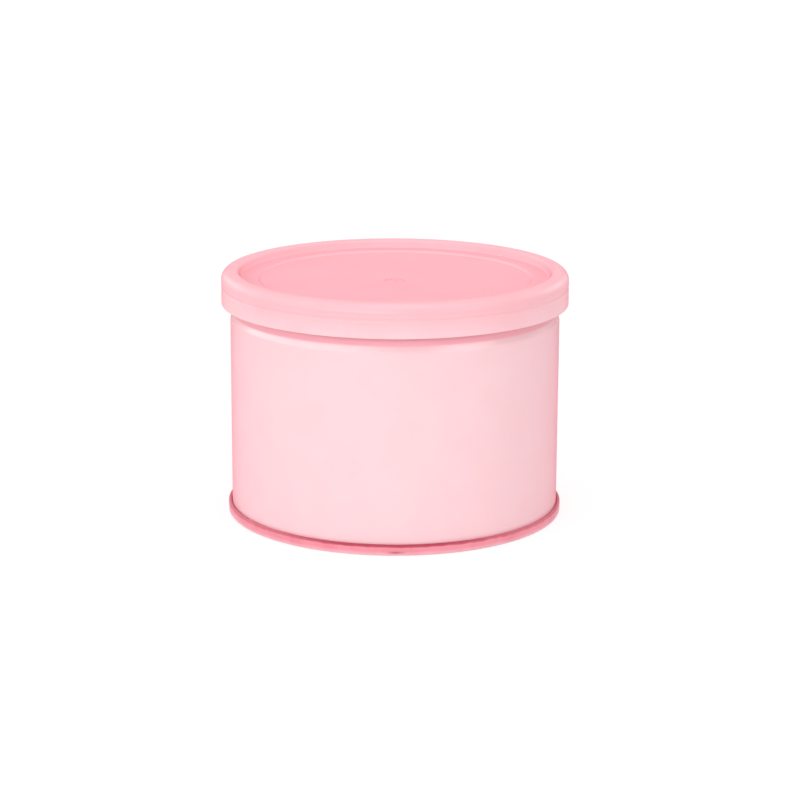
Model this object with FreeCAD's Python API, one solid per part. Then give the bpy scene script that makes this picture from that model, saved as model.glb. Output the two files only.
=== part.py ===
"""A round lidded tinplate tin of depilatory wax, of the size that drops into a salon wax warmer.

Millimetres, +Z up. The origin is the middle of the foot, on the ground.
Every piece is a profile turned about Z. A profile is a list of corners (radius, height, rounding), and
a pressed or moulded wall is a mid-wall path of such corners, given a thickness. The side weld is the
body's own profile, a little thicker, turned through the width of the weld.
"""
import FreeCAD, Part
import math
import os

# Can body: rolled and welded sheet, necked in at the top
BODY_OD = 95.0              # outside of the straight wall
CAN_HEIGHT = 70.0           # ground to the top of the mouth curl
BODY_PLATE = 0.24           # sheet thickness
NECK_INSET = 0.9            # neck stands in from the straight wall
NECK_HEIGHT = 11.2          # top of the shoulder to the top of the mouth curl
SHOULDER_HEIGHT = 1.7       # slope between the wall and the neck
SHOULDER_BEND = 1.6         # mid-sheet bend at the bottom of the slope
NECK_BEND = 1.2             # mid-sheet bend at the top of the slope
CURL_HEIGHT = 2.2           # outside height of the rolled mouth
CURL_TIP_GAP = 0.4          # cut edge of the curl to the neck
WELD_WIDTH = 0.7            # lap of the side weld
WELD_RISE = 0.05            # weld stands proud of each face of the sheet

# Bottom end and the double seam that joins it to the body
END_PLATE = 0.28            # sheet thickness
SEAM_HEIGHT = 3.2           # ground to the top of the rolled seam
SEAM_GAP = 0.05             # between neighbouring folds of the seam, where the weld runs through
FOOT_BEND = 0.4             # mid-sheet bend at both edges of the foot
HOOK_TIP_GAP = 0.37         # tip of each hook to the fold that it reaches into
COUNTERSINK = 3.6           # ground to the underside of the end panel
COUNTERSINK_BEND = 0.9      # mid-sheet bend where the panel meets the chuck wall
RING_INSET = 5.0            # chuck wall to the stiffening ring
RING_WIDTH = 6.0            # stiffening ring, across both slopes
RING_DEPTH = 0.7            # ring stands down from the panel
RING_SLOPE = 1.1            # radial run of each slope of the ring
RING_BEND = 0.8             # mid-sheet bend at each edge of a slope

# Sealing compound in the seam
COMPOUND_FILM = 0.2         # thickness of the compound under the body hook
COMPOUND_CLEARANCE = 0.05   # compound to the sheets around it, and to the weld

# Wax
HEADSPACE = 15.0            # top of the mouth curl to the wax at the foot of its meniscus
WAX_CLEARANCE = 0.06        # wax to the sheets around it, and to the weld
WAX_DISH = 0.9              # middle of the wax lies below its edge
MENISCUS_WIDTH = 2.2        # wax climbs the wall over this width
MENISCUS_RISE = 0.8         # height of that climb
MENISCUS_BEND = 3.5         # rounding at the foot of the climb

# Lid: moulded overcap
LID_WALL = 0.9              # wall thickness throughout
LID_HEIGHT = 9.5            # rim top to the bottom of the skirt
LID_ROUND = 2.5             # outside rounding between rim and skirt
SEAT_CLEARANCE = 0.15       # rim underside to the mouth curl, over the weld
SKIRT_CLEARANCE = 0.5       # skirt to the mouth curl, over the weld
PLUG_CLEARANCE = 0.4        # plug wall to the neck, over the weld
RIM_EDGE_ROUND = 1.05       # top rounding where the rim drops into the recess
RECESS_DEPTH = 2.2          # rim top to the channel floor
RECESS_DRAFT = 0.7          # plug wall leans in by this much on the way down
CHANNEL_ROUND = 0.5         # top rounding at the foot of the plug wall
CHANNEL_WIDTH = 5.1         # plug wall to the panel step
STEP_DROP = 0.5             # channel floor down to the panel
STEP_RUN = 0.6              # radial run of that step
STEP_BEND = 0.7             # mid-wall bend at each edge of the step
PANEL_DISH = 0.7            # middle of the panel lies below its edge
LIP_ROUND = 0.3             # both edges of the skirt's lip
BEAD_DROP = 1.2             # mouth curl down to the middle of the snap bead
BEAD_HEIGHT = 1.8           # snap bead where it leaves the skirt
BEAD_CREST = 0.5            # snap bead at its crest
BEAD_ROUND = 0.2            # edges of the crest
BEAD_CLEARANCE = 0.1        # crest to the mouth curl as the lid comes off
SINK_DEPTH = 0.2            # shrink line outside the skirt, level with the bead
SINK_HEIGHT = 1.2           # width of that line
GATE_OD = 6.0               # round moulding mark in the middle of the panel
GATE_DEPTH = 0.25           # depth of that mark
GATE_NUB_OD = 1.2           # cut-off gate stub in the mark
GATE_NUB_HEIGHT = 0.2       # height of that stub

# Double seam: five folds, each one step out from the last
weld_half = BODY_PLATE / 2 + WELD_RISE
seam_step = weld_half + END_PLATE / 2 + SEAM_GAP
wall_r = (BODY_OD - BODY_PLATE) / 2
chuck_r = wall_r - seam_step
cover_hook_r = wall_r + seam_step
body_hook_r = wall_r + 2 * seam_step
seaming_wall_r = wall_r + 3 * seam_step
foot_z = END_PLATE / 2
hook_z = END_PLATE + COMPOUND_FILM + 2 * COMPOUND_CLEARANCE + weld_half
seam_top_z = SEAM_HEIGHT - END_PLATE / 2
body_hook_tip_z = seam_top_z - END_PLATE / 2 - HOOK_TIP_GAP
cover_hook_tip_z = hook_z + BODY_PLATE / 2 + HOOK_TIP_GAP

# Neck and mouth curl
neck_r = wall_r - NECK_INSET
shoulder_top_z = CAN_HEIGHT - NECK_HEIGHT
shoulder_low_z = shoulder_top_z - SHOULDER_HEIGHT
curl_bend = (CURL_HEIGHT - BODY_PLATE) / 2
curl_top_z = CAN_HEIGHT - BODY_PLATE / 2
curl_low_z = CAN_HEIGHT - CURL_HEIGHT + BODY_PLATE / 2
curl_out_r = neck_r + 2 * curl_bend
curl_tip_r = neck_r + BODY_PLATE / 2 + CURL_TIP_GAP
mouth_od_r = curl_out_r + weld_half
mouth_id_r = neck_r - weld_half
mouth_top_z = curl_top_z + weld_half

# Lid, seated on the mouth curl
rim_z = mouth_top_z + SEAT_CLEARANCE + LID_WALL / 2
rim_top_z = rim_z + LID_WALL / 2
skirt_in_r = mouth_od_r + SKIRT_CLEARANCE
skirt_r = skirt_in_r + LID_WALL / 2
skirt_out_r = skirt_in_r + LID_WALL
plug_r = mouth_id_r - PLUG_CLEARANCE - LID_WALL / 2
channel_z = rim_z - RECESS_DEPTH
channel_r = plug_r - RECESS_DRAFT
step_r = channel_r - CHANNEL_WIDTH
panel_r = step_r - STEP_RUN
panel_z = channel_z - STEP_DROP
bead_z = CAN_HEIGHT - CURL_HEIGHT - BEAD_DROP

ORIGIN = FreeCAD.Vector(0, 0, 0)
UP = FreeCAD.Vector(0, 0, 1)
FULL_TURN = 360.0
BACK_ANGLE = 90.0           # the side weld is at the back, on +Y
SHORTEST_EDGE = 1e-6        # runs shorter than this are left out of a profile


def direction(start, end):
    """Unit vector from one corner to another, as (radius, height)."""
    dr = end[0] - start[0]
    dz = end[1] - start[1]
    length = math.hypot(dr, dz)
    return dr / length, dz / length


def turn_between(before, after):
    """Signed angle from one direction to the next, positive to the left."""
    cross = before[0] * after[1] - before[1] * after[0]
    dot = before[0] * after[0] + before[1] * after[1]
    return math.atan2(cross, dot)


def rounded_face(corners):
    """Flat face in the XZ plane inside closed corners, each rounded by its own radius."""
    edges = []
    count = len(corners)
    runs = []
    for i in range(count):
        r, z, rounding = corners[i]
        before = direction(corners[i - 1], corners[i])
        after = direction(corners[i], corners[(i + 1) % count])
        turn = turn_between(before, after)
        reach = rounding * math.tan(abs(turn) / 2)
        entry = FreeCAD.Vector(r - reach * before[0], 0, z - reach * before[1])
        leave = FreeCAD.Vector(r + reach * after[0], 0, z + reach * after[1])
        runs.append((entry, leave))
        if reach > SHORTEST_EDGE:
            inward = FreeCAD.Vector(after[0] - before[0], 0, after[1] - before[1]).normalize()
            sagitta = rounding / math.cos(turn / 2) - rounding
            crown = FreeCAD.Vector(r, 0, z) + inward * sagitta
            edges.append(Part.Arc(entry, crown, leave).toShape())
    for i in range(count):
        start = runs[i - 1][1]
        end = runs[i][0]
        if start.distanceToPoint(end) > SHORTEST_EDGE:
            edges.append(Part.LineSegment(start, end).toShape())
    return Part.Face(Part.Wire(Part.sortEdges(edges)[0]))


def shifted(path, distance):
    """An open path moved sideways, to the left of its travel, with its bends kept concentric."""
    moved = []
    for i, (r, z, bend) in enumerate(path):
        before = direction(path[max(i - 1, 0)], path[max(i, 1)])
        after = direction(path[min(i, len(path) - 2)], path[min(i + 1, len(path) - 1)])
        turn = turn_between(before, after)
        scale = distance / (1 + math.cos(turn))
        side = math.copysign(1.0, turn)
        moved.append((
            r - scale * (before[1] + after[1]),
            z + scale * (before[0] + after[0]),
            max(bend - side * distance, 0.0) if bend else 0.0,
        ))
    return moved


def wall_face(path, thickness, start_round=0.0):
    """Section of a wall that follows a mid-wall path, with square ends or a rounded first edge."""
    left = shifted(path, thickness / 2)
    right = shifted(path, -thickness / 2)
    left[0] = left[0][:2] + (start_round,)
    right[0] = right[0][:2] + (start_round,)
    return rounded_face(left + right[::-1])


def turned(face, angle=FULL_TURN):
    """Solid swept by a section about the tin's axis."""
    return face.revolve(ORIGIN, UP, angle)


def dish(edge_r, edge_z, fall, edge_bend):
    """Corners of a shallow round dish, from its edge in to the axis."""
    half = edge_r / 2
    slope = math.atan2(fall, half)
    bottom_bend = half / math.tan(slope / 2)
    return [
        (edge_r, edge_z, edge_bend),
        (half, edge_z - fall, bottom_bend),
        (0.0, edge_z - fall, 0.0),
    ]


def body_path():
    """Mid-sheet path of the can body, from the hook in the foot seam to the tip of the mouth curl."""
    return [
        (body_hook_r, body_hook_tip_z, 0.0),
        (body_hook_r, hook_z, seam_step),
        (wall_r, hook_z, seam_step),
        (wall_r, shoulder_low_z, SHOULDER_BEND),
        (neck_r, shoulder_top_z, NECK_BEND),
        (neck_r, curl_top_z, curl_bend),
        (curl_out_r, curl_top_z, curl_bend),
        (curl_out_r, curl_low_z, curl_bend),
        (curl_tip_r, curl_low_z, 0.0),
    ]


def panel_path(outer_r):
    """Mid-sheet path of the end panel, inward over its stiffening ring to the axis."""
    panel_mid_z = COUNTERSINK + END_PLATE / 2
    ring_mid_z = panel_mid_z - RING_DEPTH
    ring_out_r = chuck_r - RING_INSET
    ring_in_r = ring_out_r - RING_WIDTH
    return [
        (outer_r, panel_mid_z, COUNTERSINK_BEND),
        (ring_out_r, panel_mid_z, RING_BEND),
        (ring_out_r - RING_SLOPE, ring_mid_z, RING_BEND),
        (ring_in_r + RING_SLOPE, ring_mid_z, RING_BEND),
        (ring_in_r, panel_mid_z, RING_BEND),
        (0.0, panel_mid_z, 0.0),
    ]


def can_body():
    """Sheet tube with its seam hook, shoulder, neck and mouth curl, and the weld down its back."""
    sheet = turned(wall_face(body_path(), BODY_PLATE))
    weld_angle = math.degrees(WELD_WIDTH / wall_r)
    weld = turned(wall_face(body_path(), BODY_PLATE + 2 * WELD_RISE), weld_angle)
    weld.rotate(ORIGIN, UP, BACK_ANGLE - weld_angle / 2)
    return sheet.fuse(weld)


def bottom_end():
    """Pressed disc whose edge is rolled round the body's hook to make the foot."""
    rolled_edge = [
        (cover_hook_r, cover_hook_tip_z, 0.0),
        (cover_hook_r, seam_top_z, seam_step),
        (seaming_wall_r, seam_top_z, seam_step),
        (seaming_wall_r, foot_z, FOOT_BEND),
        (chuck_r, foot_z, FOOT_BEND),
    ]
    return turned(wall_face(rolled_edge + panel_path(chuck_r), END_PLATE))


def seam_compound():
    """Flat ring of sealing compound between the end and the round fold of the body hook."""
    half_width = cover_hook_r - chuck_r - FOOT_BEND
    low_z = END_PLATE + COMPOUND_CLEARANCE
    top_z = low_z + COMPOUND_FILM
    return turned(rounded_face([
        (cover_hook_r - half_width, low_z, 0.0),
        (cover_hook_r + half_width, low_z, 0.0),
        (cover_hook_r + half_width, top_z, 0.0),
        (cover_hook_r - half_width, top_z, 0.0),
    ]))


def wax():
    """Set wax from the end panel up to below the shoulder, with a meniscus and a sunken middle."""
    outer_r = wall_r - weld_half - WAX_CLEARANCE
    level_z = CAN_HEIGHT - HEADSPACE
    underside = shifted(panel_path(outer_r), -END_PLATE / 2 - WAX_CLEARANCE)
    underside[0] = underside[0][:2] + (0.0,)
    top = dish(outer_r - MENISCUS_WIDTH, level_z, WAX_DISH, MENISCUS_BEND)
    return turned(rounded_face(underside + top[::-1] + [(outer_r, level_z + MENISCUS_RISE, 0.0)]))


def lid():
    """Moulded overcap: skirt with its snap bead, rim over the curl, plug wall and dished panel."""
    path = [
        (skirt_r, rim_top_z - LID_HEIGHT, 0.0),
        (skirt_r, rim_z, LID_ROUND - LID_WALL / 2),
        (plug_r, rim_z, RIM_EDGE_ROUND - LID_WALL / 2),
        (channel_r, channel_z, CHANNEL_ROUND + LID_WALL / 2),
        (step_r, channel_z, STEP_BEND),
    ]
    shell = turned(wall_face(path + dish(panel_r, panel_z, PANEL_DISH, STEP_BEND), LID_WALL, LIP_ROUND))
    return shell.fuse(snap_bead()).cut(sink_line()).cut(gate_mark()).fuse(gate_nub())


def snap_bead():
    """Bead inside the skirt, under the mouth curl."""
    crest_r = mouth_od_r + BEAD_CLEARANCE
    return turned(rounded_face([
        (skirt_r, bead_z - BEAD_HEIGHT / 2, 0.0),
        (skirt_r, bead_z + BEAD_HEIGHT / 2, 0.0),
        (skirt_in_r, bead_z + BEAD_HEIGHT / 2, 0.0),
        (crest_r, bead_z + BEAD_CREST / 2, BEAD_ROUND),
        (crest_r, bead_z - BEAD_CREST / 2, BEAD_ROUND),
        (skirt_in_r, bead_z - BEAD_HEIGHT / 2, 0.0),
    ]))


def sink_line():
    """Shallow round-bottomed groove to cut outside the skirt, where the bead makes the wall thick."""
    groove_r = ((SINK_HEIGHT / 2) ** 2 + SINK_DEPTH ** 2) / (2 * SINK_DEPTH)
    groove_centre_r = skirt_out_r + groove_r - SINK_DEPTH
    return Part.makeTorus(groove_centre_r, groove_r, FreeCAD.Vector(0, 0, bead_z), UP)


def gate_floor_z():
    """Height of the floor of the gate mark."""
    return panel_z - PANEL_DISH + LID_WALL / 2 - GATE_DEPTH


def gate_mark():
    """Round to cut in the middle of the panel."""
    return Part.makeCylinder(GATE_OD / 2, LID_WALL, FreeCAD.Vector(0, 0, gate_floor_z()), UP)


def gate_nub():
    """Stub that is left where the moulding was cut from its gate."""
    foot = gate_floor_z() - GATE_NUB_HEIGHT
    return Part.makeCylinder(GATE_NUB_OD / 2, 2 * GATE_NUB_HEIGHT, FreeCAD.Vector(0, 0, foot), UP)


PIECES = {
    "can_body": can_body,
    "bottom_end": bottom_end,
    "seam_compound": seam_compound,
    "wax": wax,
    "lid": lid,
}

os.makedirs("parts", exist_ok=True)
for name, make in PIECES.items():
    piece = make()
    piece.exportStep(f"parts/{name}.step")
    box = piece.optimalBoundingBox(False)
    print(name, piece.isValid(), len(piece.Solids), f"{piece.Volume:.1f} mm3",
          f"z {box.ZMin:.3f} to {box.ZMax:.3f}, across {box.XLength:.3f}")
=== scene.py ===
import math
import random

import bmesh
import bpy
from mathutils import Euler, Matrix, Vector


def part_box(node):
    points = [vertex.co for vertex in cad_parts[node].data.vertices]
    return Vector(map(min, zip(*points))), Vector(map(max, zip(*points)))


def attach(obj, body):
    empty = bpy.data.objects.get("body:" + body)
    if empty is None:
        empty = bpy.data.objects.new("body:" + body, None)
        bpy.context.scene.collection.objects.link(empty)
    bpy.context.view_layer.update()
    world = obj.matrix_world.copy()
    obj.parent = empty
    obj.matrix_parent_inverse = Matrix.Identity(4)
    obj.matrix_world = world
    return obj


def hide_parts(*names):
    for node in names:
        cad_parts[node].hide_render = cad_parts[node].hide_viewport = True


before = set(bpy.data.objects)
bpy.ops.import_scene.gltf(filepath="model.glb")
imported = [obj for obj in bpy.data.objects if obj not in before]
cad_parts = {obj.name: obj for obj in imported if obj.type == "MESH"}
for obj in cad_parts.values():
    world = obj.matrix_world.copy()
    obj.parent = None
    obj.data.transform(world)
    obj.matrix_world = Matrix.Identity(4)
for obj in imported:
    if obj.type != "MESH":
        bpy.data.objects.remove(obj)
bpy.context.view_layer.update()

MM = 0.001

# Places on the tin, in metres
CURL_FOOT = 66.7 * MM
SHOULDER_MIDDLE = 58.3 * MM
SHOULDER_FOOT = 56.5 * MM
NECK_FOOT = 59.3 * MM
SKIRT_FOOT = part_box("lid")[0].z
RIM_SHOULDER = 70.2 * MM
RIM_CREST = (69.2 * MM, 70.4 * MM)
RECESS_RADIUS = 45.5 * MM
CREVICE_FOOT = 2.1 * MM
CREVICE_HEAD = 2.75 * MM
PALE_FOOT = 1.5 * MM
SEAM_MARK = (0.6 * MM, 1.0 * MM)
SEAM_MARK_REACH = (3.6 * MM, 0.6 * MM)
PAINT_EDGE = 0.1 * MM
WELD_MARGIN = 1.6 * MM
WELD_BURN = 0.9 * MM
FOOT_WEAR = 0.35 * MM
HALVES_EDGE = 1 * MM
PANEL_EDGE = 1 * MM

# How strongly the seam's marks show, and where the painted shade in its crevice fades towards the sides
PALE_SHARE = 0.75
MARK_SHARE = 0.75
CREVICE_SHADE_FADE = (12 * MM, 40 * MM)
CREVICE_SHADE_SIDE_SHARE = 0.55

# The wax, inside its solid
WAX_LOW, WAX_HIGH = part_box("wax")
WAX_RADIUS = WAX_HIGH.x
MENISCUS_WIDTH = 2.2 * MM
MENISCUS_RISE = 0.8 * MM
WAX_LEVEL = WAX_HIGH.z - MENISCUS_RISE
WAX_DISH = 0.9 * MM
WAX_FOOT = WAX_LOW.z + 0.75 * MM
WAX_CORNER = 1.2 * MM
WAX_SHARP = math.radians(40)
WAX_RINGS = 96
WAX_SIDES = 360
RIPPLE_LENGTH = 6.5 * MM
RING_LENGTH = 2.1 * MM
RIPPLE_DEPTH = 0.16 * MM
BUBBLE_COUNT = 60
BUBBLE_SIZE = (0.5 * MM, 1.5 * MM)
BUBBLE_DEPTH = 0.42
BUBBLE_REACH = 1.6
BUBBLE_PIT_STEEP = 4
BUBBLE_LIP_STEEP = 14
BUBBLE_LIP_SHARE = 0.45
BUBBLE_MARGIN = 4 * MM
BUBBLE_SPREAD = (0.12, 1.0)
BUBBLE_SEED = 7

# The camera, fitted to the outline of the tin in the photograph
CAMERA_TARGET = Vector((0, 0, 35.5 * MM))
CAMERA_DISTANCE = 720 * MM
CAMERA_ELEVATION = math.radians(14.02)
CAMERA_PITCH = math.radians(-0.261)
CAMERA_YAW = math.radians(-0.1275)
CAMERA_ROLL = math.radians(0.234)
CAMERA_LENS = 111.2
SENSOR_WIDTH = 36.0
CAMERA_CLIP = 10 * MM

# The lamps, in metres and degrees; azimuth 0 is the camera's side and 90 is the right
LAMP_DISTANCE = 1.4
SOFTBOX_ELEVATION = 18
SOFTBOX_SIZE = (0.88, 0.375)
SOFTBOXES = ((-25, 4.9), (-62, 1.9), (-102, 0.8), (-138, 2.0), (135, 2.0), (45, 3.3))
OVERHEAD_ELEVATION = 88
OVERHEAD_SIZE = (0.8, 0.8)
OVERHEAD_BRIGHTNESS = 2.2
GLEAM_ELEVATION = 30
GLEAM_SIZE = (0.88, 0.9)
GLEAM_BRIGHTNESS = 9.0
GLEAM_AZIMUTHS = (-34, -70, -106, 54)

# The surround and the floor, whose own glow rises from the tin to the distance
AMBIENT = 0.54
FLOOR_HALF = 3.0
FLOOR_PAPER = 0.85
FLOOR_ROUGHNESS = 0.9
SHADOW_SHARE = 0.24
GLOW_REACH = (0.3, 1.5)
FLOOR_GLOW = (0.80, 0.94)
WHITE = (1, 1, 1, 1)


def srgb(red, green, blue):
    """The linear colour, with alpha, of 8-bit sRGB values."""
    def linear(value):
        share = value / 255
        return share / 12.92 if share <= 0.04045 else ((share + 0.055) / 1.055) ** 2.4
    return linear(red), linear(green), linear(blue), 1.0


LACQUER_PINK = srgb(252, 212, 217)
LACQUER_DEEP = srgb(252, 209, 214)
# The next colour is painted shade: a deeper pink that stands for the lid's shadow on the neck
LACQUER_UNDER_LID_SHADE = srgb(248, 176, 187)
LACQUER_SHEEN = srgb(252, 130, 155)
TINPLATE = srgb(200, 196, 190)
WELD_GREY = srgb(160, 153, 149)
ROSE = srgb(244, 152, 166)
ROSE_DEEP = srgb(238, 138, 154)
# The next colour paints the shade in the seam's crevice, and the dark mark at the seam's front
ROSE_DARK = srgb(184, 70, 90)
ROSE_PALE = srgb(250, 205, 211)
# LID_PINK running to LID_PALE is painted light down the rim and skirt, and LID_PANEL is the painted
# tone of the upward-facing panel and crest
LID_PINK = srgb(254, 188, 196)
LID_CLOUD = srgb(253, 181, 190)
LID_PALE = srgb(253, 206, 212)
LID_PANEL = srgb(254, 193, 201)
LID_SHEEN = srgb(252, 130, 150)
WAX_PINK = srgb(250, 198, 198)
WAX_MILK = srgb(251, 207, 206)
COMPOUND_GREY = srgb(150, 146, 142)
COMPOUND_DARK = srgb(112, 108, 106)


class Graph:
    """One material's node tree, with short calls for the nodes that are used here."""

    def __init__(self, name):
        self.material = bpy.data.materials.new(name)
        self.material.use_nodes = True
        self.nodes = self.material.node_tree.nodes
        self.links = self.material.node_tree.links
        self.shader = self.nodes["Principled BSDF"]
        coordinates = self.nodes.new("ShaderNodeTexCoord")
        self.place = coordinates.outputs["Object"]
        self.normal = coordinates.outputs["Normal"]
        parts = self.node("SeparateXYZ", {"Vector": self.place})
        self.x, self.y, self.z = parts.outputs

    def feed(self, socket, value):
        """Links a socket to another node's output, or sets its own value."""
        if isinstance(value, bpy.types.NodeSocket):
            self.links.new(value, socket)
        else:
            socket.default_value = value

    def node(self, kind, inputs, **settings):
        made = self.nodes.new("ShaderNode" + kind)
        for name, value in settings.items():
            setattr(made, name, value)
        for key, value in inputs.items():
            self.feed(made.inputs[key], value)
        return made

    def set(self, **values):
        """Feeds the shader's own sockets, named with underscores for spaces."""
        for name, value in values.items():
            self.feed(self.shader.inputs[name.replace("_", " ")], value)

    def math(self, operation, *values):
        return self.node("Math", dict(enumerate(values)), operation=operation).outputs[0]

    def times(self, first, second):
        return self.math("MULTIPLY", first, second)

    def other(self, share):
        """One less a share."""
        return self.math("SUBTRACT", 1.0, share)

    def step(self, value, low, high, out_low=0.0, out_high=1.0):
        """A smooth change from out_low, at low, to out_high, at high."""
        ends = {"From Min": low, "From Max": high, "To Min": out_low, "To Max": out_high}
        made = self.node("MapRange", {"Value": value, **ends}, interpolation_type="SMOOTHSTEP")
        return made.outputs[0]

    def near(self, value, place, reach):
        """One at a place, falling to zero at a reach either side of it."""
        away = self.math("ABSOLUTE", self.math("SUBTRACT", value, place))
        return self.step(away, 0.0, reach, 1.0, 0.0)

    def noise(self, size, detail=2.0, where=None):
        """Noise, about 0.5 on average, whose patches are about size metres across."""
        inputs = {"Vector": where or self.place, "Scale": 1 / size, "Detail": detail}
        return self.node("TexNoise", inputs).outputs["Fac"]

    def mix(self, share, first, second):
        """A colour that goes from first to second with the share."""
        made = self.node("Mix", {}, data_type="RGBA")
        for name, value in (("Factor_Float", share), ("A_Color", first), ("B_Color", second)):
            socket = next(s for s in made.inputs if s.identifier == name)
            self.feed(socket, value)
        return next(s for s in made.outputs if s.identifier == "Result_Color")

    def radius(self):
        """The distance from the tin's axis."""
        square = self.math("ADD", self.times(self.x, self.x), self.times(self.y, self.y))
        return self.math("SQRT", square)

    def outward(self):
        """One where the surface faces away from the tin's axis, and minus one where it faces it."""
        flat = self.node("CombineXYZ", {"X": self.x, "Y": self.y, "Z": 0.0}).outputs[0]
        radial = self.node("VectorMath", {0: flat}, operation="NORMALIZE").outputs["Vector"]
        dot = self.node("VectorMath", {0: self.normal, 1: radial}, operation="DOT_PRODUCT")
        return dot.outputs["Value"]

    def bump(self, height, depth, under=None):
        """A normal that follows a height from 0 to 1, which stands for depth metres."""
        inputs = {"Height": height, "Distance": depth}
        if under is not None:
            inputs["Normal"] = under
        return self.node("Bump", inputs).outputs["Normal"]


def body_lacquer():
    """Pink lacquer with a deeper sheen outside, bare metal beside the weld, and tinplate inside."""
    g = Graph("body_lacquer")
    below_curl = g.step(g.z, CURL_FOOT, CURL_FOOT + PAINT_EDGE, 1.0, 0.0)
    outside = g.times(g.step(g.outward(), -0.1, 0.1), below_curl)
    ragged = g.step(g.noise(1.2 * MM), 0.0, 1.0, -0.25 * MM, 0.25 * MM)
    from_weld = g.math("ADD", g.math("ABSOLUTE", g.x), ragged)
    at_back = g.step(g.y, 0.0, HALVES_EDGE)
    stripe = g.times(at_back, g.step(from_weld, WELD_MARGIN - PAINT_EDGE, WELD_MARGIN, 1.0, 0.0))
    burn = g.times(at_back, g.step(from_weld, 0.0, WELD_BURN, 1.0, 0.0))
    paint = g.times(outside, g.other(stripe))
    patches = g.step(g.noise(9 * MM, 3.0), 0.3, 0.8)
    # Painted shade: the neck above the shoulder turns deeper pink, standing for the lid's shadow on it
    under_lid_shade = g.step(g.z, SHOULDER_MIDDLE, NECK_FOOT)
    lacquer = g.mix(under_lid_shade, g.mix(patches, LACQUER_PINK, LACQUER_DEEP), LACQUER_UNDER_LID_SHADE)
    metal = g.mix(burn, TINPLATE, WELD_GREY)
    grain = g.noise(5 * MM, 3.0)
    gloss = g.step(g.z, SHOULDER_FOOT, SHOULDER_MIDDLE, 0.36, 0.2)
    smooth = g.math("ADD", gloss, g.step(grain, 0.2, 0.8, 0.0, 0.06))
    peel = g.noise(2.5 * MM, 1.0)
    waves = g.noise(16 * MM, 1.0)
    normal = g.bump(waves, 0.05 * MM)
    normal = g.bump(peel, 0.0008 * MM, normal)
    g.set(
        Base_Color=g.mix(paint, metal, lacquer),
        Metallic=g.other(paint),
        Roughness=g.math("ADD", smooth, g.times(stripe, 0.2)),
        Specular_IOR_Level=0.14,
        Sheen_Weight=1.0,
        Sheen_Roughness=0.38,
        Sheen_Tint=LACQUER_SHEEN,
        Normal=normal,
    )
    return g.material


def end_lacquer():
    """Rose lacquer on stamped tinplate, worn to the metal where the seam stands on its foot."""
    g = Graph("end_lacquer")
    radius = g.radius()
    rings_at = g.node("CombineXYZ", {"X": radius, "Y": 0.0, "Z": g.z}).outputs[0]
    rings = g.noise(0.5 * MM, 3.0, rings_at)
    worn = g.times(g.step(g.z, 0.0, FOOT_WEAR, 1.0, 0.0), g.step(g.noise(1.5 * MM, 4.0), 0.45, 0.6))
    patches = g.step(g.noise(6 * MM, 3.0), 0.35, 0.75)
    uneven = g.math("ADD", g.z, g.step(g.noise(4 * MM), 0.2, 0.8, -0.15 * MM, 0.15 * MM))
    # Painted shade: the crevice at the seam's top is dark rose, strongest at the front and back middle,
    # fading towards the sides
    crevice_shade_strength = g.step(g.math("ABSOLUTE", g.x), *CREVICE_SHADE_FADE, 1.0, CREVICE_SHADE_SIDE_SHARE)
    crevice_shade = g.times(g.step(uneven, CREVICE_FOOT, CREVICE_HEAD), crevice_shade_strength)
    foot = g.times(g.step(uneven, 0.0, PALE_FOOT, 1.0, 0.0), PALE_SHARE)
    across = g.near(g.x, SEAM_MARK[0], SEAM_MARK_REACH[0])
    up = g.near(g.z, SEAM_MARK[1], SEAM_MARK_REACH[1])
    mark = g.times(g.times(across, up), g.step(g.y, -HALVES_EDGE, 0.0, MARK_SHARE, 0.0))
    lacquer = g.mix(foot, g.mix(patches, ROSE, ROSE_DEEP), ROSE_PALE)
    lacquer = g.mix(g.math("MAXIMUM", crevice_shade, mark), lacquer, ROSE_DARK)
    dull = g.step(g.noise(2 * MM, 4.0), 0.25, 0.75, 0.36, 0.46)
    normal = g.bump(g.noise(12 * MM, 1.0), 0.04 * MM)
    normal = g.bump(rings, 0.0015 * MM, normal)
    g.set(
        Base_Color=g.mix(worn, lacquer, TINPLATE),
        Metallic=g.times(g.step(worn, 0.0, 1.0, 0.3, 1.0), g.other(crevice_shade)),
        Roughness=g.math("ADD", dull, g.times(crevice_shade, 0.3)),
        Specular_IOR_Level=0.3,
        Normal=normal,
    )
    return g.material


def sealing_compound():
    """Cast rubbery sealing compound, cloudy and matt."""
    g = Graph("sealing_compound")
    g.set(
        Base_Color=g.mix(g.noise(2 * MM, 4.0), COMPOUND_GREY, COMPOUND_DARK),
        Roughness=g.step(g.noise(1 * MM), 0.2, 0.8, 0.6, 0.85),
        Normal=g.bump(g.noise(0.6 * MM, 3.0), 0.02 * MM),
    )
    return g.material


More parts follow.
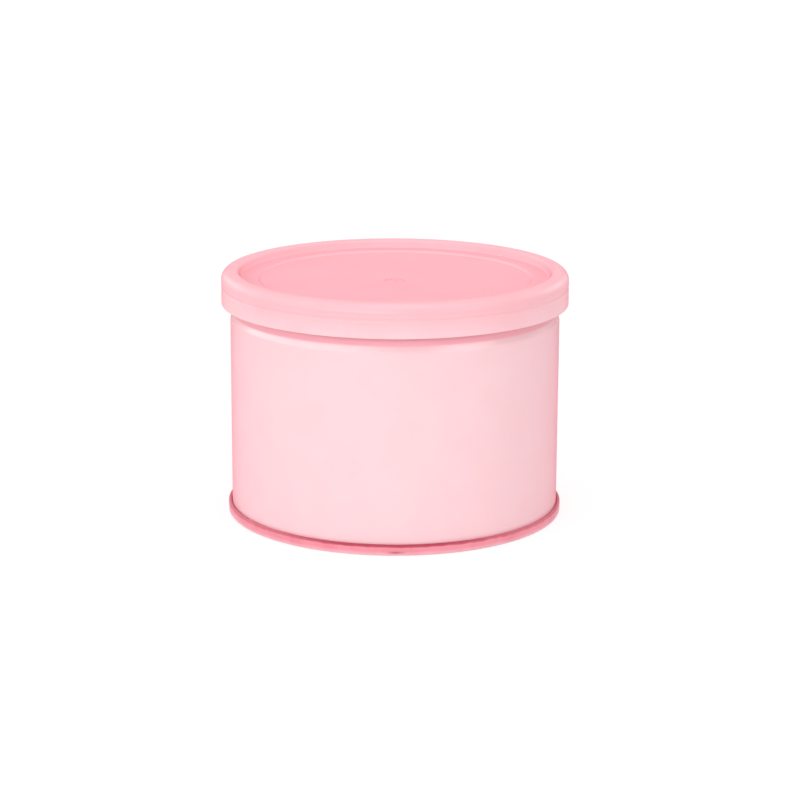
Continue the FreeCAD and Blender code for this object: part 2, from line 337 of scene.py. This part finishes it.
def lid_plastic():
    """Soft translucent plastic, with flow rings about the gate and a fine moulded skin."""
    g = Graph("lid_plastic")
    radius = g.radius()
    rings_at = g.node("CombineXYZ", {"X": radius, "Y": 0.0, "Z": g.z}).outputs[0]
    flow = g.noise(2.6 * MM, 2.0, rings_at)
    clouds = g.step(g.noise(14 * MM, 3.0), 0.3, 0.75)
    # Painted light: the rim and skirt run from deeper pink at the top to paler at the skirt's foot, for
    # how the light falls on them
    painted_skirt_light = g.step(g.z, SKIRT_FOOT, RIM_SHOULDER, 1.0, 0.0)
    # Painted light and shade: the upward-facing panel and rim crest get a tone of their own, for how
    # the light falls on them
    panel = g.step(radius, RECESS_RADIUS - PANEL_EDGE, RECESS_RADIUS, 1.0, 0.0)
    top = g.math("MAXIMUM", panel, g.step(g.z, *RIM_CREST))
    skin = g.mix(top, g.mix(painted_skirt_light, LID_PINK, LID_PALE), LID_PANEL)
    mottle = g.step(g.noise(3 * MM, 4.0), 0.25, 0.75, 0.0, 0.1)
    normal = g.bump(flow, 0.012 * MM)
    normal = g.bump(g.noise(0.7 * MM, 2.0), 0.004 * MM, normal)
    g.set(
        Base_Color=g.mix(g.times(clouds, 0.35), skin, LID_CLOUD),
        Roughness=g.math("ADD", g.step(panel, 0.0, 1.0, 0.31, 0.56), mottle),
        Specular_IOR_Level=0.4,
        Sheen_Weight=1.0,
        Sheen_Roughness=0.3,
        Sheen_Tint=LID_SHEEN,
        Normal=normal,
    )
    return g.material


def set_wax():
    """Creamy set wax, with milky swirls and a satin skin."""
    g = Graph("set_wax")
    swirl = g.noise(11 * MM, 3.0)
    normal = g.bump(g.noise(3 * MM, 2.0), 0.012 * MM)
    g.set(
        Base_Color=g.mix(g.step(swirl, 0.25, 0.75), WAX_PINK, WAX_MILK),
        Roughness=g.step(g.noise(5 * MM, 4.0), 0.3, 0.7, 0.22, 0.3),
        Normal=normal,
    )
    return g.material


def wax_height(radius, angle, bubbles):
    """How high the wax stands: sunken in the middle, drawn up at the wall, rippled and pitted."""
    flat = WAX_RADIUS - MENISCUS_WIDTH
    if radius <= flat:
        height = WAX_LEVEL - WAX_DISH * (1 - (radius / flat) ** 2)
    else:
        height = WAX_LEVEL + MENISCUS_RISE * ((radius - flat) / MENISCUS_WIDTH) ** 2
    x, y = radius * math.cos(angle), radius * math.sin(angle)
    calm = 1 - min(1.0, radius / flat) ** 6
    slow = math.sin(x / RIPPLE_LENGTH + 1.3) * math.sin(y / RIPPLE_LENGTH * 0.8 + 0.4)
    ring = math.sin(radius / RING_LENGTH) * 0.35
    height -= RIPPLE_DEPTH * calm * (1 + 0.5 * slow + 0.5 * ring)
    for bubble_x, bubble_y, size in bubbles:
        away = math.hypot(x - bubble_x, y - bubble_y) / size
        if away < BUBBLE_REACH:
            pit = math.exp(-BUBBLE_PIT_STEEP * away * away)
            lip = BUBBLE_LIP_SHARE * math.exp(-BUBBLE_LIP_STEEP * (away - 1) ** 2)
            height -= BUBBLE_DEPTH * size * (pit - lip)
    return height


def wax_block():
    """The block of set wax, closed all round, with its open top modelled in detail."""
    draw = random.Random(BUBBLE_SEED)
    bubbles = []
    for _ in range(BUBBLE_COUNT):
        radius = (WAX_RADIUS - BUBBLE_MARGIN) * math.sqrt(draw.uniform(*BUBBLE_SPREAD))
        angle = draw.uniform(0, 2 * math.pi)
        bubbles.append((radius * math.cos(angle), radius * math.sin(angle), draw.uniform(*BUBBLE_SIZE)))
    rings = []
    for step in range(1, WAX_RINGS + 1):
        radius = WAX_RADIUS * step / WAX_RINGS
        rings.append((radius, True, 0.0))
    rings.append((WAX_RADIUS, False, WAX_FOOT + WAX_CORNER))
    rings.append((WAX_RADIUS - 0.3 * WAX_CORNER, False, WAX_FOOT + 0.3 * WAX_CORNER))
    rings.append((WAX_RADIUS - WAX_CORNER, False, WAX_FOOT))
    mesh = bmesh.new()
    top = mesh.verts.new((0, 0, wax_height(0.0, 0.0, bubbles)))
    loops = []
    for radius, follows_top, foot in rings:
        loop = []
        for turn in range(WAX_SIDES):
            angle = 2 * math.pi * turn / WAX_SIDES
            height = wax_height(radius, angle, bubbles) if follows_top else foot
            loop.append(mesh.verts.new((radius * math.cos(angle), radius * math.sin(angle), height)))
        loops.append(loop)
    bottom = mesh.verts.new((0, 0, WAX_FOOT))
    for turn in range(WAX_SIDES):
        after = (turn + 1) % WAX_SIDES
        mesh.faces.new((top, loops[0][turn], loops[0][after]))
        for inner, outer in zip(loops, loops[1:]):
            mesh.faces.new((inner[turn], outer[turn], outer[after], inner[after]))
        mesh.faces.new((loops[-1][turn], bottom, loops[-1][after]))
    for face in mesh.faces:
        face.smooth = True
    for edge in mesh.edges:
        if edge.calc_face_angle(0.0) > WAX_SHARP:
            edge.smooth = False
    data = bpy.data.meshes.new("set_wax_block")
    mesh.to_mesh(data)
    mesh.free()
    data.materials.append(set_wax())
    made = bpy.data.objects.new("set_wax_block", data)
    bpy.context.scene.collection.objects.link(made)
    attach(made, "can")
    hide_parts("wax")


def dress(node, material):
    """Gives a CAD node its finished material."""
    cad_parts[node].data.materials.clear()
    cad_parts[node].data.materials.append(material)


def camera():
    """The photograph's view."""
    data = bpy.data.cameras.new("camera")
    data.lens = CAMERA_LENS
    data.sensor_width = SENSOR_WIDTH
    data.clip_start = CAMERA_CLIP
    made = bpy.data.objects.new("camera", data)
    away = Vector((0, -math.cos(CAMERA_ELEVATION), math.sin(CAMERA_ELEVATION)))
    tilt = math.pi / 2 - CAMERA_ELEVATION + CAMERA_PITCH
    turn = Euler((tilt, 0, CAMERA_YAW)).to_matrix() @ Matrix.Rotation(CAMERA_ROLL, 3, "Z")
    made.matrix_world = Matrix.Translation(CAMERA_TARGET + CAMERA_DISTANCE * away) @ turn.to_4x4()
    bpy.context.scene.collection.objects.link(made)
    bpy.context.scene.camera = made


def softbox(name, azimuth, elevation, size, brightness):
    """An area lamp of one brightness all over, aimed at the tin."""
    data = bpy.data.lights.new(name, "AREA")
    data.shape = "RECTANGLE"
    data.size, data.size_y = size
    data.energy = brightness * math.pi * data.size * data.size_y
    made = bpy.data.objects.new(name, data)
    a, e = math.radians(azimuth), math.radians(elevation)
    away = Vector((math.sin(a) * math.cos(e), -math.cos(a) * math.cos(e), math.sin(e)))
    made.location = CAMERA_TARGET + LAMP_DISTANCE * away
    made.rotation_euler = away.to_track_quat("Z", "Y").to_euler()
    bpy.context.scene.collection.objects.link(made)
    return made


def lamps():
    """Softboxes all round the tin, and one above it."""
    for number, (azimuth, brightness) in enumerate(SOFTBOXES):
        softbox(f"softbox_{number}", azimuth, SOFTBOX_ELEVATION, SOFTBOX_SIZE, brightness)
    softbox("overhead", 0, OVERHEAD_ELEVATION, OVERHEAD_SIZE, OVERHEAD_BRIGHTNESS)


def gleams():
    """Lamps that only show as the soft highlight along the can's shoulder."""
    takers = bpy.data.collections.new("gleam_takers")
    takers.objects.link(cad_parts["can_body"])
    for number, azimuth in enumerate(GLEAM_AZIMUTHS):
        lamp = softbox(f"gleam_{number}", azimuth, GLEAM_ELEVATION, GLEAM_SIZE, GLEAM_BRIGHTNESS)
        lamp.visible_diffuse = False
        lamp.light_linking.receiver_collection = takers


def shown_rays(nodes, links):
    """One for rays that show the background: camera, glossy and transmission rays."""
    path = nodes.new("ShaderNodeLightPath")
    total = path.outputs["Is Camera Ray"]
    for name in ("Is Glossy Ray", "Is Transmission Ray"):
        add = nodes.new("ShaderNodeMath")
        add.operation = "MAXIMUM"
        links.new(total, add.inputs[0])
        links.new(path.outputs[name], add.inputs[1])
        total = add.outputs[0]
    return total


def white_world():
    """A white surround to look at, and a dimmer one for light."""
    world = bpy.data.worlds.new("surround")
    bpy.context.scene.world = world
    world.use_nodes = True
    nodes, links = world.node_tree.nodes, world.node_tree.links
    ambient = nodes["Background"]
    ambient.inputs["Color"].default_value = WHITE
    ambient.inputs["Strength"].default_value = AMBIENT
    white = nodes.new("ShaderNodeBackground")
    white.inputs["Color"].default_value = WHITE
    white.inputs["Strength"].default_value = 1.0
    mix = nodes.new("ShaderNodeMixShader")
    links.new(shown_rays(nodes, links), mix.inputs[0])
    links.new(ambient.outputs[0], mix.inputs[1])
    links.new(white.outputs[0], mix.inputs[2])
    links.new(mix.outputs[0], nodes["World Output"].inputs["Surface"])


def floor_paper():
    """White studio paper, which looks white but still takes the tin's shadow."""
    material = bpy.data.materials.new("floor_paper")
    material.use_nodes = True
    nodes, links = material.node_tree.nodes, material.node_tree.links
    paper = nodes["Principled BSDF"]
    paper.inputs["Base Color"].default_value = (FLOOR_PAPER, FLOOR_PAPER, FLOOR_PAPER, 1)
    paper.inputs["Roughness"].default_value = FLOOR_ROUGHNESS
    seen = nodes.new("ShaderNodeBsdfDiffuse")
    seen.inputs["Color"].default_value = (SHADOW_SHARE, SHADOW_SHARE, SHADOW_SHARE, 1)
    away = nodes.new("ShaderNodeVectorMath")
    away.operation = "LENGTH"
    links.new(nodes.new("ShaderNodeTexCoord").outputs["Object"], away.inputs[0])
    rise = nodes.new("ShaderNodeMapRange")
    for name, value in zip(("From Min", "From Max", "To Min", "To Max"), GLOW_REACH + FLOOR_GLOW):
        rise.inputs[name].default_value = value
    links.new(away.outputs["Value"], rise.inputs["Value"])
    glow = nodes.new("ShaderNodeEmission")
    links.new(rise.outputs[0], glow.inputs["Strength"])
    both = nodes.new("ShaderNodeAddShader")
    links.new(seen.outputs[0], both.inputs[0])
    links.new(glow.outputs[0], both.inputs[1])
    mix = nodes.new("ShaderNodeMixShader")
    links.new(shown_rays(nodes, links), mix.inputs[0])
    links.new(paper.outputs[0], mix.inputs[1])
    links.new(both.outputs[0], mix.inputs[2])
    links.new(mix.outputs[0], nodes["Material Output"].inputs["Surface"])
    return material


def floor():
    """The ground that the tin stands on."""
    mesh = bpy.data.meshes.new("floor")
    corners = [(FLOOR_HALF * x, FLOOR_HALF * y, 0) for x, y in ((-1, -1), (1, -1), (1, 1), (-1, 1))]
    mesh.from_pydata(corners, [], [(0, 1, 2, 3)])
    mesh.materials.append(floor_paper())
    made = bpy.data.objects.new("floor", mesh)
    bpy.context.scene.collection.objects.link(made)


bpy.context.scene.view_settings.view_transform = "Standard"
camera()
white_world()
floor()
lamps()
gleams()

dress("can_body", body_lacquer())
dress("bottom_end", end_lacquer())
dress("seam_compound", sealing_compound())
dress("lid", lid_plastic())
wax_block()
